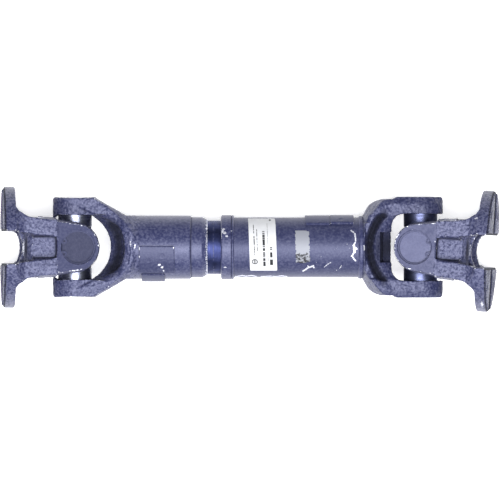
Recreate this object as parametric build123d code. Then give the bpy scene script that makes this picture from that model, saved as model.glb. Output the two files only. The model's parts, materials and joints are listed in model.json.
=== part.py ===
from build123d import *
import math
import os

# A truck propeller shaft with a sliding length piece, lying on a floor. X runs along the shaft, Z is up.
# The origin is on the floor, under the middle of the shaft. All sizes are in millimetres.

# ---- driving dimensions -------------------------------------------------------------------------
JOINT_SPACING = 514.0        # between the two joint centres, as stored
AXIS_HEIGHT = 79.7           # of the shaft's axis above the floor that it lies on
EAR_SPAN = 150.0             # across the outer faces of a pair of yoke ears
EAR_GAP = 99.0               # between the inner faces of a pair of ears
EYE_R = 34.0                 # of a shaft yoke's ear round its bearing
LEFT_SWING = 7.5             # degrees that the left flange end stands up from straight
RIGHT_SWING = 10.5           # the same at the right end
RIGHT_TURN = -3.5            # degrees that the right flange yoke is turned on its own pins

FLANGE_D = 180.0
FLANGE_FACE = 108.0          # joint centre to the tips of the face teeth
FLANGE_BACK = 90.0           # joint centre to the back of the flange
SLOT_HALF = 24.0             # half the width of the open slot across the flange
BOLT_CIRCLE_D = 150.0
BOLT_HOLE_D = 15.0
TOOTH_PITCH = 4.2
TOOTH_DEPTH = 2.0
TOOTH_ANGLE = 35.0           # of the face teeth from the flange's cross line

CUP_D = 50.0
CUP_END = 67.5               # joint centre to a cup's closed end: half the cross's length over its cups
CUP_LENGTH = 37.0
CUP_BORE_R = 19.9
CUP_FLOOR = 4.5
TRUNNION_R = 16.75
TRUNNION_END = 61.6
NEEDLE_R = 1.46
NEEDLE_COUNT = 38
NEEDLE_RING_R = 18.35
NEEDLE_SPAN = (36.5, 60.5)
CLIP_THICKNESS = 2.3
GROOVE_R = 27.2
LUG_AT = (20.2, 9.4)         # middle of a clip's lug, along and across its gap
LUG_R = 4.2
LUG_HOLE_R = 1.4
GROOVE_WIDTH = 2.6

TUBE_D = 88.9
TUBE_WALL = 4.0
TUBE_SPAN = (-30.0, 170.0)
HUB_R = 47.2
HUB_STEP_R = 45.0
NECK_R = 39.8
SLEEVE_END = 40.0            # right-hand end of the slip yoke's sleeve, inside the tube
SPLINE_TEETH = 24
SPLINE_R = 29.0              # tips of the stub's teeth
SPLINE_ROOT_R = 26.0
SPLINE_GAP = 0.06            # clearance of the sliding spline, at tips and flanks
STUB_SPAN = (-128.0, 64.0)

OUT = EAR_SPAN / 2
IN = EAR_GAP / 2
TUBE_R = TUBE_D / 2
TUBE_BORE_R = TUBE_R - TUBE_WALL
SIDES = (1, -1)


# ---- small shapes -------------------------------------------------------------------------------
def rod_x(radius, start, end, y=0.0, z=0.0):
    """A round bar along X."""
    return Pos((start + end) / 2, y, z) * Rot(0, 90, 0) * Cylinder(radius, end - start)


def rod_y(radius, half):
    """A round bar along Y, half of it on each side."""
    return Rot(90, 0, 0) * Cylinder(radius, 2 * half)


def rod_z(radius, start, end, x=0.0, y=0.0):
    """A round bar along Z."""
    return Pos(x, y, (start + end) / 2) * Cylinder(radius, end - start)


def block(x, y, z):
    """A box from three (low, high) pairs."""
    middle = [(low + high) / 2 for low, high in (x, y, z)]
    return Pos(*middle) * Box(x[1] - x[0], y[1] - y[0], z[1] - z[0])


def plan(points, half, corner=0.0):
    """A closed outline in the XY plane, thickened by half to each side along Z."""
    face = make_face(Polyline(*points, close=True))
    if corner:
        face = fillet(face.vertices(), corner)
    return extrude(face, amount=half, both=True)


def elevation(points, half):
    """A closed outline in the XZ plane, thickened by half to each side along Y."""
    face = Plane.XZ * make_face(Polyline(*points, close=True))
    return extrude(face, amount=half, both=True)


def mirrored(points):
    """An outline's upper half and its mirror image below the X line, as one closed loop."""
    return points + [(x, -y) for x, y in reversed(points)]


def turned(points):
    """A profile of (x, radius) pairs turned about the X axis; it starts and ends on the axis."""
    return revolve(make_face(Polyline(*points, close=True)), Axis.X)


def ring(outer, inner, start, end):
    """A plain ring along X."""
    return rod_x(outer, start, end) - rod_x(inner, start - 1, end + 1)


def on_trunnions(shape, pair):
    """The same bearing piece on both trunnions of a pair: Y for a shaft yoke's, Z for a flange yoke's."""
    turns = {"Y": (-90, 90), "Z": (0, 180)}[pair]
    return [Rot(turn, 0, 0) * shape for turn in turns]


# ---- bearing pieces, along +Z from the joint centre ----------------------------------------------
def bearing_cup():
    """A drawn steel cup, closed at its outer end."""
    low = CUP_END - CUP_LENGTH
    body = rod_z(CUP_D / 2, low, CUP_END)
    body = chamfer(body.edges().group_by(Axis.Z)[-1], 1.2)
    return body - rod_z(CUP_BORE_R, low - 1, CUP_END - CUP_FLOOR)


def needle_set():
    """The needles of one cup."""
    needle = rod_z(NEEDLE_R, *NEEDLE_SPAN, x=NEEDLE_RING_R)
    return [Rot(0, 0, 360 * i / NEEDLE_COUNT) * needle for i in range(NEEDLE_COUNT)]


def cup_seal():
    """A rubber lip seal in a cup's mouth, with a flange that covers the cup's rim."""
    mouth = CUP_END - CUP_LENGTH
    sleeve = rod_z(CUP_BORE_R, mouth, mouth + 4.5)
    flange = rod_z(CUP_D / 2 - 0.8, mouth - 2.6, mouth)
    return sleeve + flange - rod_z(TRUNNION_R + 0.3, mouth - 4, mouth + 6)


def thrust_washer():
    """A plastic disc between a trunnion's end and its cup's floor."""
    top = CUP_END - CUP_FLOOR
    disc = rod_z(TRUNNION_R - 1.5, TRUNNION_END + 0.05, top)
    return disc - rod_z(3.5, TRUNNION_END - 1, top + 1)


def circlip():
    """An internal retaining ring with two pierced lugs, its gap towards the flange."""
    low = CUP_END
    high = low + CLIP_THICKNESS
    band = rod_z(GROOVE_R - 0.1, low, high) - rod_z(22.6, low - 1, high + 1)
    gap = block((0, 40), (-5.2, 5.2), (low - 1, high + 1))
    clip = band - gap
    for side in SIDES:
        x, y = LUG_AT[0], side * LUG_AT[1]
        clip = clip + rod_z(LUG_R, low, high, x, y) - rod_z(LUG_HOLE_R, low - 1, high + 1, x, y)
    return clip


def ear_bore():
    """What is machined out of an ear: the cup's bore, the clip's groove and a bevelled mouth."""
    bore = rod_z(CUP_D / 2, 0, OUT + 2)
    groove = rod_z(GROOVE_R, CUP_END, CUP_END + GROOVE_WIDTH)
    bevel = Pos(0, 0, OUT - 0.75) * Cone(CUP_D / 2, CUP_D / 2 + 1.5, 1.5)
    return bore + groove + bevel


def drill_ears(body, pair):
    for cutter in on_trunnions(ear_bore(), pair):
        body = body - cutter
    return body


# ---- the cross ----------------------------------------------------------------------------------
def cross():
    """The forged cross: a chunky middle, four shoulders and four ground trunnions."""
    mouth = CUP_END - CUP_LENGTH
    arm = rod_z(TRUNNION_R, 0, TRUNNION_END)
    arm = chamfer(arm.edges().group_by(Axis.Z)[-1], 1.0)
    shoulder = rod_z(22.0, 0, mouth - 5.5) + Pos(0, 0, mouth - 4.2) * Cone(22.0, 19.0, 2.6)
    parts = []
    for pair in "YZ":
        parts += on_trunnions(arm + shoulder, pair)
    body = parts[0]
    for part in parts[1:]:
        body = body + part
    body = body + rod_x(18.0, -23.0, 23.0)
    return body - rod_x(3.0, 14.0, 30.0)


def grease_nipple():
    """A ball-ended nipple screwed into the middle of the cross, facing the flange's slot."""
    profile = [(14.5, 0), (14.5, 2.9), (23.0, 2.9), (23.0, 5.2), (27.5, 5.2), (27.5, 2.2), (30.0, 2.2)]
    profile += [(30.6, 3.2), (33.4, 3.2), (34.4, 2.0), (34.4, 0)]
    return turned(profile)


# ---- yokes --------------------------------------------------------------------------------------
def flange_arms():
    """Both ears with their two-legged arms, before any recess; +X is outwards."""
    tip = ThreePointArc((0, -37), (-33, 0), (0, 37))
    sides = Polyline((0, 37), (29, 41), (31, 44), (54, 45.7), (78, 49.5), (86, 54), (92, 64))
    end = Polyline((92, 64), (92, -64))
    back = Polyline((92, -64), (86, -54), (78, -49.5), (54, -45.7), (31, -44), (29, -41), (0, -37))
    outline = make_face(Wire([*tip.edges(), *sides.edges(), *end.edges(), *back.edges()]))
    arms = extrude(outline, amount=FLANGE_D / 2, both=True)
    profile = [(-40, IN), (-40, OUT), (29.5, OUT), (31, OUT - 1.5), (78, OUT - 1.5), (86, OUT + 4)]
    profile += [(92, OUT + 11), (92, 36), (62, 42), (36, IN)]
    arms = arms & rod_x(FLANGE_D / 2, -60, 100)
    above = elevation(profile, 80)
    below = elevation([(x, -z) for x, z in profile], 80)
    return (arms & above) + (arms & below)


def face_teeth():
    """Crossed teeth in four pads round the bolt holes; their tips are the flange's face."""
    base = FLANGE_FACE - TOOTH_DEPTH
    slope = TOOTH_DEPTH * math.tan(math.radians(TOOTH_ANGLE))
    count = math.ceil(FLANGE_D / TOOTH_PITCH / 2) * 2
    low = -count * TOOTH_PITCH / 2
    points = [(-2.0, low), (-2.0, -low)]
    for i in reversed(range(count)):
        foot = low + i * TOOTH_PITCH
        points += [(0.0, foot + TOOTH_PITCH), (TOOTH_DEPTH, foot + TOOTH_PITCH - slope), (TOOTH_DEPTH, foot + slope)]
    points.append((0.0, low))
    comb = plan(points[:-1], FLANGE_D / 2)
    pads = []
    for across in SIDES:
        for up in SIDES:
            teeth = Pos(base, 0, 0) * Rot(across * up * TOOTH_ANGLE, 0, 0) * comb
            y = sorted((across * (SLOT_HALF + 3), across * FLANGE_D / 2))
            z = sorted((up * 15.0, up * FLANGE_D / 2))
            pad = block((base - 3, FLANGE_FACE + 3), y, z)
            pads.append(teeth & pad & rod_x(FLANGE_D / 2 - 2, base - 3, FLANGE_FACE + 3))
    return pads


def flange_slot():
    """The open slot across the flange, with an arched end at each arm's web."""
    rise = 7.5
    end = FLANGE_BACK - 2 - rise
    radius = (SLOT_HALF**2 + rise**2) / (2 * rise)
    lane = block((end, FLANGE_FACE + 10), (-SLOT_HALF, SLOT_HALF), (-FLANGE_D, FLANGE_D))
    arch = rod_z(radius, -FLANGE_D, FLANGE_D, x=end + radius)
    mouth = block((end + rise, FLANGE_FACE + 10), (-SLOT_HALF, SLOT_HALF), (-FLANGE_D, FLANGE_D))
    return (lane & arch) + mouth


def web_window(side):
    """The recess between the two legs of one arm: a floor with sloping walls, and a web that falls away beyond it."""
    floor, wall_slope = 60.0, -25.0
    outline = [(37, -13), (37, 13), (68, 14.5), (68, -14.5)]
    window = fillet(make_face(Polyline(*outline, close=True)).vertices(), 4.0)
    pocket = extrude(Pos(0, 0, floor) * window, amount=20, taper=wall_slope)
    end = elevation([(66, 63), (75, 53), (79.5, 44), (96, 44), (96, 90), (66, 90)], SLOT_HALF - 2.5)
    cut = pocket + end
    return cut if side > 0 else Rot(180, 0, 0) * cut


def flange_yoke():
    """A forged yoke with a toothed flange; +X is outwards and its ears are on the Z line."""
    base = FLANGE_FACE - TOOTH_DEPTH
    disc = rod_x(FLANGE_D / 2, FLANGE_BACK, base)
    disc = chamfer(disc.edges().group_by(Axis.X)[-1], 1.5)
    body = disc - rod_x(24.0, FLANGE_BACK - 1, FLANGE_FACE) + flange_arms()
    for pad in face_teeth():
        body = body + pad
    body = body - flange_slot()
    for side in SIDES:
        body = body - web_window(side)
    at = BOLT_CIRCLE_D / 2 / math.sqrt(2)
    for y in (-at, at):
        for z in (-at, at):
            body = body - rod_x(BOLT_HOLE_D / 2, FLANGE_BACK - 2, FLANGE_FACE + 2, y, z)
            body = body - rod_x(14.5, 58, FLANGE_BACK, y, z)
    return drill_ears(body, "Z")


def slip_yoke():
    """A forged yoke on a hub and a ground sleeve with an internal spline; +X is away from its joint."""
    hub_end = JOINT_SPACING / 2 - 84.4
    step_end = JOINT_SPACING / 2 - 66.5
    neck_start = JOINT_SPACING / 2 - 59.1
    sleeve_end = JOINT_SPACING / 2 + SLEEVE_END
    outline = mirrored([(-32.5, OUT - 3), (-29.5, OUT), (30, OUT), (33, OUT - 2.5), (76, HUB_R), (100, HUB_R)])
    width = mirrored([(0, EYE_R), (48, 37), (77, 41.5), (93, HUB_R), (100, HUB_R)])
    crotch_ring, crotch_bar = 100.5, 47.5
    body = plan(outline, 60) & (elevation(width, 90) + rod_y(EYE_R, 90))
    body = body & turned([(-60, 0), (-60, 90), (30, 83), (78, 53), (94, HUB_R), (120, HUB_R), (120, 0)])
    between = block((-60, crotch_ring), (-IN, IN), (-60, 60))
    body = body - (between - Torus(crotch_ring, crotch_bar))
    hub = [(92, 0), (92, HUB_R), (hub_end, HUB_R), (hub_end + 1.5, HUB_STEP_R), (step_end, HUB_STEP_R)]
    hub += [(neck_start, NECK_R), (sleeve_end - 2, NECK_R), (sleeve_end, NECK_R - 2), (sleeve_end, 0)]
    body = body + turned(hub)
    bore_start = 92.0
    body = body - rod_x(SPLINE_R + 1, bore_start, sleeve_end + 1)
    body = body + (ring(SPLINE_R + 2, SPLINE_ROOT_R + SPLINE_GAP, 132, sleeve_end - 6) - spline(131, sleeve_end))
    return drill_ears(body, "Y")


def weld_yoke():
    """A forged yoke that is welded to the tube; +X is away from its joint."""
    shoulder = ThreePointArc((56, OUT - 3.6), (76.3, 63.2), (85, 49.5))
    upper = Polyline((-33, OUT - 4), (-29.5, OUT), (37, OUT), (42, OUT - 3.6), (56, OUT - 3.6))
    end = Polyline((85, 49.5), (87, 46.5), (87, -46.5), (85, -49.5))
    lower_shoulder = ThreePointArc((85, -49.5), (76.3, -63.2), (56, 3.6 - OUT))
    lower = Polyline((56, 3.6 - OUT), (42, 3.6 - OUT), (37, -OUT), (-29.5, -OUT), (-33, 4 - OUT), (-33, OUT - 4))
    edges = [e for part in (upper, shoulder, end, lower_shoulder, lower) for e in part.edges()]
    width = mirrored([(0, EYE_R), (45, 37), (66, 41.5), (78, 44), (87, 46.5)])
    body = extrude(make_face(Wire(edges)), amount=60, both=True)
    body = body & (elevation(width, 90) + rod_y(EYE_R, 90))
    body = body & turned([(-60, 0), (-60, 90), (40, 86), (60, 78), (78, 62), (85, 50), (87, 46.5), (87, 0)])
    floor, corner = 44.0, 18.0
    gap = plan([(-120, IN), (floor, IN), (floor, -IN), (-120, -IN)], 60, corner)
    bar = 40.0
    arc_middle, arc_r = 6.6, 77.4
    relief = block((-60, arc_middle + arc_r), (-IN + 3, IN - 3), (-60, 60)) - Pos(arc_middle, 0, 0) * Torus(arc_r, bar)
    body = body - gap - relief
    for side in SIDES:
        pocket = plan([(36, -21), (36, 21), (57, 21), (57, -21)], 15, 4)
        body = body - Pos(0, 0, side * 24) * pocket
    tube_end = JOINT_SPACING / 2 - TUBE_SPAN[1]
    body = body + rod_x(TUBE_BORE_R, tube_end - 1, tube_end + 18) - rod_x(30.0, 72, tube_end + 20)
    return drill_ears(body, "Y")


# ---- shaft pieces, in the shaft's own X ----------------------------------------------------------
def spline(start, end, grow=0.0):
    """A splined bar along X with straight-flanked teeth; grow thickens it all over."""
    half_root = math.pi * SPLINE_ROOT_R / SPLINE_TEETH / 2 + grow
    half_tip = 0.62 * half_root + 0.38 * grow
    reach = SPLINE_R + grow
    tooth = [(SPLINE_ROOT_R - 3, half_root), (SPLINE_ROOT_R, half_root), (reach, half_tip)]
    outline = make_face(Polyline(*mirrored(tooth), close=True))
    section = Circle(SPLINE_ROOT_R + grow)
    for i in range(SPLINE_TEETH):
        section = section + Rot(0, 0, 360 * i / SPLINE_TEETH) * outline
    return Pos(start, 0, 0) * Rot(0, 90, 0) * extrude(section, amount=end - start)


def tube():
    return ring(TUBE_R, TUBE_BORE_R, *TUBE_SPAN)


def seal_collar():
    """The pressed ring round the tube's open end; it holds the lip seal against the ground neck."""
    left, right, outer = -39.8, -20.4, 48.0
    profile = [(left, 41.0), (left, outer - 2.5), (left + 2.5, outer), (-24.8, outer), (-24.0, outer - 0.8)]
    profile += [(-23.2, outer), (right - 2.0, outer), (right, outer - 2.0), (right, TUBE_R)]
    profile += [(TUBE_SPAN[0], TUBE_R), (TUBE_SPAN[0], 43.0), (left + 1.5, 43.0), (left + 1.5, 41.0)]
    return turned(profile)


def lip_seal():
    profile = [(-38.3, 43.0), (-38.3, 41.6), (-37.0, NECK_R + 0.1), (-36.0, NECK_R + 0.1), (-34.8, 41.4)]
    profile += [(-33.6, NECK_R + 0.1), (-32.6, NECK_R + 0.1), (-31.4, 41.6), (-30.0, 43.0)]
    return turned(profile)


def splined_stub():
    """The tube's splined stub, on a disc that closes the tube behind the slip yoke's sleeve."""
    start, end = STUB_SPAN
    disc = rod_x(TUBE_BORE_R, end, end + 14) - ring(TUBE_BORE_R + 1, TUBE_BORE_R - 2, end, end + 2)
    boss = turned([(end - 2, 0), (end - 2, SPLINE_ROOT_R), (end, 32.0), (end, 0)])
    nose = turned([(start - 4, 0), (start - 4, 20.0), (start, SPLINE_ROOT_R - 2), (start, 0)])
    return spline(start, end - 2) + boss + disc + nose


def yoke_weld():
    """The fillet bead between the tube and the welded yoke."""
    end = TUBE_SPAN[1]
    profile = [(end - 6.5, TUBE_R), (end - 5.0, 45.7), (end - 2.5, 46.3), (end, 46.5), (end, TUBE_R)]
    return turned(profile)


def curved_plate(inner, thickness, x_span, angles):
    """A plate bent round the X axis; angles run from straight up towards +Y, in degrees."""
    def point(radius, angle):
        turn = math.radians(angle)
        return (radius * math.sin(turn), radius * math.cos(turn))

    first, last = angles
    middle = (first + last) / 2
    outer = inner + thickness
    edges = [
        ThreePointArc(point(outer, first), point(outer, middle), point(outer, last)),
        Line(point(outer, last), point(inner, last)),
        ThreePointArc(point(inner, last), point(inner, middle), point(inner, first)),
        Line(point(inner, first), point(outer, first)),
    ]
    face = Plane.YZ * make_face(Wire([e for edge in edges for e in edge.edges()]))
    return Pos(x_span[0], 0, 0) * extrude(face, amount=x_span[1] - x_span[0])


# ---- the assembly -------------------------------------------------------------------------------
SHAFT = Pos(0, 0, AXIS_HEIGHT)
JOINTS = {
    "left": {"x": -JOINT_SPACING / 2, "half_turn": 180, "swing": LEFT_SWING, "turn": 0.0},
    "right": {"x": JOINT_SPACING / 2, "half_turn": 0, "swing": -RIGHT_SWING, "turn": RIGHT_TURN},
}
EARS = {"Y": ("back", "front"), "Z": ("top", "bottom")}


def shaft_pieces():
    """Everything between the joints, where it lies."""
    return {
        "slip_yoke": Pos(JOINTS["left"]["x"], 0, 0) * slip_yoke(),
        "weld_yoke": Pos(JOINTS["right"]["x"], 0, 0) * Rot(0, 0, 180) * weld_yoke(),
        "tube": tube(),
        "yoke_weld": yoke_weld(),
        "splined_stub": splined_stub(),
        "seal_collar": seal_collar(),
        "lip_seal": lip_seal(),
        "hub_plate_front": curved_plate(HUB_R, 3.0, (-160, -108), (-51, 2)),
        "hub_plate_low": curved_plate(HUB_R, 4.0, (-157, -123), (-100, -52)),
        "tube_plate_left": curved_plate(TUBE_R, 3.2, (85, 121.5), (48, 100)),
        "tube_plate_right": curved_plate(TUBE_R, 3.6, (122, 157), (50, 104)),
        "part_label": curved_plate(TUBE_R, 0.25, (0.5, 43.5), (-52, 75)),
        "test_label": curved_plate(TUBE_R, 0.2, (70.5, 91), (-31, 33)),
    }


def bearing_pieces(side, pair, place):
    """The two bearings of one trunnion pair: cups and clips one by one, the small inner pieces as groups."""
    pieces = {}
    for name, cup, clip in zip(EARS[pair], on_trunnions(bearing_cup(), pair), on_trunnions(circlip(), pair)):
        pieces[f"{side}_cup_{name}"] = place * cup
        pieces[f"{side}_circlip_{name}"] = place * clip
    whose = {"Y": "shaft_side", "Z": "flange_side"}[pair]
    for name, one in (("seals", cup_seal()), ("thrust_washers", thrust_washer())):
        pieces[f"{side}_{whose}_{name}"] = [place * piece for piece in on_trunnions(one, pair)]
    needles = [piece for needle in needle_set() for piece in on_trunnions(needle, pair)]
    pieces[f"{side}_{whose}_needles"] = [place * needle for needle in needles]
    return pieces


def joint_pieces(side):
    """One universal joint with its flange yoke, swung as it lies."""
    joint = JOINTS[side]
    straight = Pos(joint["x"], 0, 0) * Rot(0, 0, joint["half_turn"])
    swung = Pos(joint["x"], 0, 0) * Rot(0, joint["swing"], 0) * Rot(0, 0, joint["half_turn"])
    turned_too = swung * Rot(0, 0, joint["turn"])
    pieces = {
        f"{side}_flange_yoke": turned_too * flange_yoke(),
        f"{side}_cross": swung * cross(),
        f"{side}_grease_nipple": swung * grease_nipple(),
    }
    pieces.update(bearing_pieces(side, "Y", straight))
    pieces.update(bearing_pieces(side, "Z", turned_too))
    return pieces


def main():
    os.makedirs("parts", exist_ok=True)
    pieces = shaft_pieces()
    for side in JOINTS:
        pieces.update(joint_pieces(side))
    for name, piece in pieces.items():
        solids = piece if isinstance(piece, list) else [piece]
        solids = [SHAFT * solid for one in solids for solid in one.solids()]
        export_step(Compound(children=solids) if len(solids) > 1 else solids[0], f"parts/{name}.step")


main()
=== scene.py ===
import json
import math

import bmesh
import bpy
import numpy as np
from mathutils import Matrix, Vector, noise


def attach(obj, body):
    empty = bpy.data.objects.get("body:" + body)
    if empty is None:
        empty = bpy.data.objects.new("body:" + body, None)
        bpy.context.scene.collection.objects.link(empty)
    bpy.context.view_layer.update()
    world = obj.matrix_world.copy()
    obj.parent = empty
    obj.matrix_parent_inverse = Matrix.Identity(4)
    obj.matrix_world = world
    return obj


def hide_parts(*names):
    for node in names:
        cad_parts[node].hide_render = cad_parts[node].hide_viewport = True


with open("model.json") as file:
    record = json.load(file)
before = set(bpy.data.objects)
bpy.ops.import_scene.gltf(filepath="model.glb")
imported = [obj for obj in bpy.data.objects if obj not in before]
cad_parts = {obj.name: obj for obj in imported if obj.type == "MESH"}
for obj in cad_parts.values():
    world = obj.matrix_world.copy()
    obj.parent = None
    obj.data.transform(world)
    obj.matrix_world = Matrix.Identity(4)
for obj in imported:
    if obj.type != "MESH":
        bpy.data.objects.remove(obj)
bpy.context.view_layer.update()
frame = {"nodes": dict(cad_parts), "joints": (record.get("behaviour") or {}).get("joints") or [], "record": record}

bl_info = {
    "name": "Truck propeller shaft",
    "version": (1, 0, 0),
    "blender": (4, 5, 0),
    "location": "3D View > Sidebar > Shaft",
    "description": "Dresses a CAD propeller shaft: forged yokes, painted tube, bearings, labels and studio",
    "category": "Object",
}

# The shaft is described in millimetres, in the frame of the piece being made, and placed in metres.
MM = 0.001
JOINTS = {joint["name"]: joint for joint in frame["joints"]}
MOUNTS = {mount["name"]: mount for mount in frame["record"]["mounts"]}
SIDES = ("left", "right")
SHAFT_BODY = {"left": "slip_yoke", "right": "tube_assembly"}
FORGED_VOXEL = 1.25
# from a joint's centre to its ears' flat faces as drawn, and as milled on the flange yokes
EAR_FACE = 75.0
MILLED_EAR = 74.0
CUP_R = 25.0
CUP_END = 67.5
GROOVE_R = 27.2
FLANGE_BACK = 90.0
# from a joint's centre to the roots of the face teeth, and to the bottom of the notches at the rim
FLANGE_BASE = 106.0
NOTCH_BOTTOM = 104.9
# the floor of the window in a flange yoke's web, from the joint's centre
WINDOW_FLOOR = 59.8
TUBE_R = 44.45
# how far a label shifts along the tube for each millimetre round it, since both are stuck on askew
LABEL_SKEW = -0.035
# the middle and radius of the moat in the weld yoke's crotch
MOAT_CENTRE = 6.6
MOAT_R = 70.5
# how far a point has to stand out of its neighbours to be rubbed, or lie in to be painted darker as shade
RUBBED_BEND = 0.06
SHADE_BEND = 0.04
BOLT_AT = 150.0 / 2 / math.sqrt(2)


# ---- colours and sizes that a user would change -------------------------------------------------
def linear(code):
    """An sRGB hex colour as the linear values that the shaders take."""
    parts = [int(code[i : i + 2], 16) / 255 for i in (1, 3, 5)]
    return tuple(c / 12.92 if c <= 0.04045 else ((c + 0.055) / 1.055) ** 2.4 for c in parts)


def colour(name, description, code):
    return bpy.props.FloatVectorProperty(
        name=name, description=description, default=linear(code), size=3, min=0, max=1, subtype="COLOR"
    )


class PaintSettings(bpy.types.PropertyGroup):
    paint: colour("Paint", "Chassis paint on the forgings and the tube", "#272B4C")
    worn_paint: colour("Thin paint", "The same paint where it is thin or dusty", "#52546E")
    bare_steel: colour("Bare steel", "Steel where the paint is chipped off", "#D4D6E0")
    forging_skin: bpy.props.FloatProperty(
        name="Forging skin", description="Height of the forged skin's waves, in millimetres",
        default=0.42, min=0, max=1,
    )


class StudioSettings(bpy.types.PropertyGroup):
    floor: colour("Floor", "Pale studio floor", "#F4F4F4")
    floor_glow: bpy.props.FloatProperty(
        name="Floor glow", description="How strongly the floor is lit from below", default=0.55, min=0, max=2,
    )
    camera_height: bpy.props.FloatProperty(
        name="Camera height", description="Camera above the shaft's axis", default=4.0, min=1, max=10,
        unit="LENGTH",
    )
    view_width: bpy.props.FloatProperty(
        name="View width", description="What the picture spans at the shaft's axis", default=0.744,
        min=0.2, max=3, unit="LENGTH",
    )


# ---- places -------------------------------------------------------------------------------------
def basis(origin, x, z):
    """A frame in metres from its origin, X and Z, that takes millimetres."""
    x, z = Vector(x).normalized(), Vector(z).normalized()
    turn = Matrix((x, z.cross(x), z)).transposed().to_4x4()
    return Matrix.Translation(origin) @ turn @ Matrix.Scale(MM, 4)


def flange_place(side):
    """+X out of the flange, +Z along the flange yoke's own bearing pins."""
    return basis(
        JOINTS[f"{side}_flange_pivot"]["pos_m"],
        MOUNTS[f"{side}_flange_bolts"]["axis"],
        JOINTS[f"{side}_flange_pivot"]["axis"],
    )


def yoke_place(side):
    """+X from the joint towards the shaft, +Y or -Y along the shaft yoke's bearing pins."""
    return basis(JOINTS[f"{side}_yoke_pivot"]["pos_m"], (1 if side == "left" else -1, 0, 0), (0, 0, 1))


def shaft_place():
    """The shaft's own axis: X along it, Z up."""
    height = JOINTS["left_yoke_pivot"]["pos_m"][2]
    return basis((0, 0, height), (1, 0, 0), (0, 0, 1))


# ---- mesh tools ---------------------------------------------------------------------------------
def new_mesh(points, faces):
    mesh = bpy.data.meshes.new("part")
    mesh.from_pydata([tuple(p) for p in points], [], faces)
    mesh.update()
    return mesh


def tidy_mesh(mesh, merge=1e-4):
    """Welds doubled points and turns the faces outwards."""
    bm = bmesh.new()
    bm.from_mesh(mesh)
    bmesh.ops.remove_doubles(bm, verts=bm.verts, dist=merge)
    bmesh.ops.recalc_face_normals(bm, faces=bm.faces)
    bm.to_mesh(mesh)
    bm.free()
    return mesh


def lathe(profile, segments=96):
    """A profile of (x, radius) pairs turned about X. A radius of 0 closes it; otherwise it is a closed loop."""
    points, rows = [], []
    for x, r in profile:
        if r == 0:
            rows.append([len(points)] * segments)
            points.append((x, 0, 0))
            continue
        rows.append([len(points) + i for i in range(segments)])
        for i in range(segments):
            turn = 2 * math.pi * i / segments
            points.append((x, r * math.sin(turn), r * math.cos(turn)))
    pairs = list(zip(rows, rows[1:]))
    if profile[0][1] != 0:
        pairs.append((rows[-1], rows[0]))
    faces = []
    for one, two in pairs:
        for i in range(segments):
            j = (i + 1) % segments
            corners = dict.fromkeys((one[i], one[j], two[j], two[i]))
            if len(corners) > 2:
                faces.append(tuple(corners))
    return tidy_mesh(new_mesh(points, faces))


def rod(radius, start, end, segments=64):
    return lathe([(start, 0), (start, radius), (end, radius), (end, 0)], segments)


# The sides of a box whose corners run through its first span slowest and its last fastest.
BOX_FACES = [(0, 1, 3, 2), (4, 6, 7, 5), (0, 4, 5, 1), (2, 3, 7, 6), (0, 2, 6, 4), (1, 5, 7, 3)]


def box(x, y, z):
    points = [(a, b, c) for a in x for b in y for c in z]
    return tidy_mesh(new_mesh(points, BOX_FACES))


def moved(mesh, matrix):
    """The same mesh, turned and shifted."""
    mesh.transform(matrix)
    return mesh


def along(axis, sign=1):
    """Turns a piece made along +X so that it lies along another axis."""
    if axis == "Z":
        return Matrix.Rotation(-sign * math.pi / 2, 4, "Y")
    return Matrix.Rotation(sign * math.pi / 2, 4, "Z")


def joined(meshes):
    """Several meshes as one."""
    bm = bmesh.new()
    for mesh in meshes:
        bm.from_mesh(mesh)
    whole = bpy.data.meshes.new("part")
    bm.to_mesh(whole)
    bm.free()
    return whole


def with_modifier(mesh, kind, **settings):
    """The mesh after one modifier."""
    holder = bpy.data.objects.new("holder", mesh)
    bpy.context.scene.collection.objects.link(holder)
    modifier = holder.modifiers.new(kind, kind)
    for name, value in settings.items():
        setattr(modifier, name, value)
    graph = bpy.context.evaluated_depsgraph_get()
    result = bpy.data.meshes.new_from_object(holder.evaluated_get(graph))
    bpy.data.objects.remove(holder)
    return result


def boolean(mesh, tools, operation="DIFFERENCE"):
    """The mesh with tool meshes cut away, added or kept, one after the other."""
    for tool in tools:
        holder = bpy.data.objects.new("tool", tool)
        bpy.context.scene.collection.objects.link(holder)
        mesh = with_modifier(mesh, "BOOLEAN", object=holder, operation=operation, solver="MANIFOLD")
        bpy.data.objects.remove(holder)
    if not len(mesh.polygons):
        raise RuntimeError("a cut left nothing")
    return mesh


def roughen(mesh, height, size, keep=None, seed=0.0):
    """Gives a skin the low waves of a hot forging; keep(point) fades them out, from 1 to 0."""
    normals = np.empty(len(mesh.vertices) * 3)
    mesh.vertices.foreach_get("normal", normals)
    normals = normals.reshape(-1, 3)
    for vertex, normal in zip(mesh.vertices, normals):
        p = vertex.co
        at = p / size + Vector((seed, seed, seed))
        wave = 0.5 * noise.noise(at) + 0.55 * noise.noise(at * 2.6) + 0.45 * noise.noise(at * 4.7)
        fade = keep(p) if keep else 1.0
        vertex.co = p + Vector(normal) * (height * fade * (wave - 0.35))
    mesh.update()
    return mesh


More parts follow.
